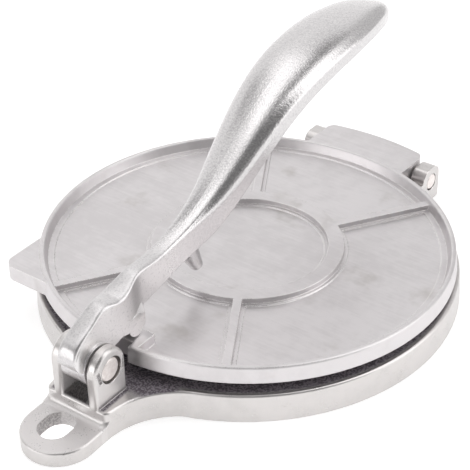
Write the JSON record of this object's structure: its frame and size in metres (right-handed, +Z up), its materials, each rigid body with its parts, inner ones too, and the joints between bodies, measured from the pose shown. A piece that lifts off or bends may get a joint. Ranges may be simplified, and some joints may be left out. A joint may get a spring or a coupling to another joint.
{
  "type": "tortilla press",
  "caption": "Cast-aluminium tortilla press: round base with hang eye, hinged upper plate with a rimmed tray, and a curved lever handle over it.",
  "frame": {"origin": "on the table, at the middle of the base's rib cross, under the centre of the round plates", "axes": "+Z up, -Y towards the clevis and hang eye, +Y towards the plate's hinge, +X to the right seen from the eye's end"},
  "size_m": [0.206, 0.2775, 0.1119],
  "materials": {
    "base_casting": "satin cast aluminium",
    "upper_casting": "satin cast aluminium",
    "handle_casting": "grainy polished cast aluminium",
    "pin_steel": "staked steel"
  },
  "bodies": {
    "base": {"base_plate": "base_casting", "handle_pin": "pin_steel", "hinge_pin": "pin_steel"},
    "plate": {"upper_plate": "upper_casting"},
    "lever": {"handle": "handle_casting"}
  },
  "joints": [
    {"name": "handle_swing", "type": "hinge", "parent": "base", "child": "lever", "pos_m": [0, -0.1176, 0.0303], "axis": [1, 0, 0], "range_deg": [-7.5, 135]},
    {"name": "plate_lift", "type": "hinge", "parent": "base", "child": "plate", "pos_m": [0, 0.113, 0.0119], "axis": [-1, 0, 0], "range_deg": [-0.9, 16.2]}
  ],
  "couplings": [
    {"joint": "plate_lift", "follows": "handle_swing", "ratio": 0.12}
  ]
}
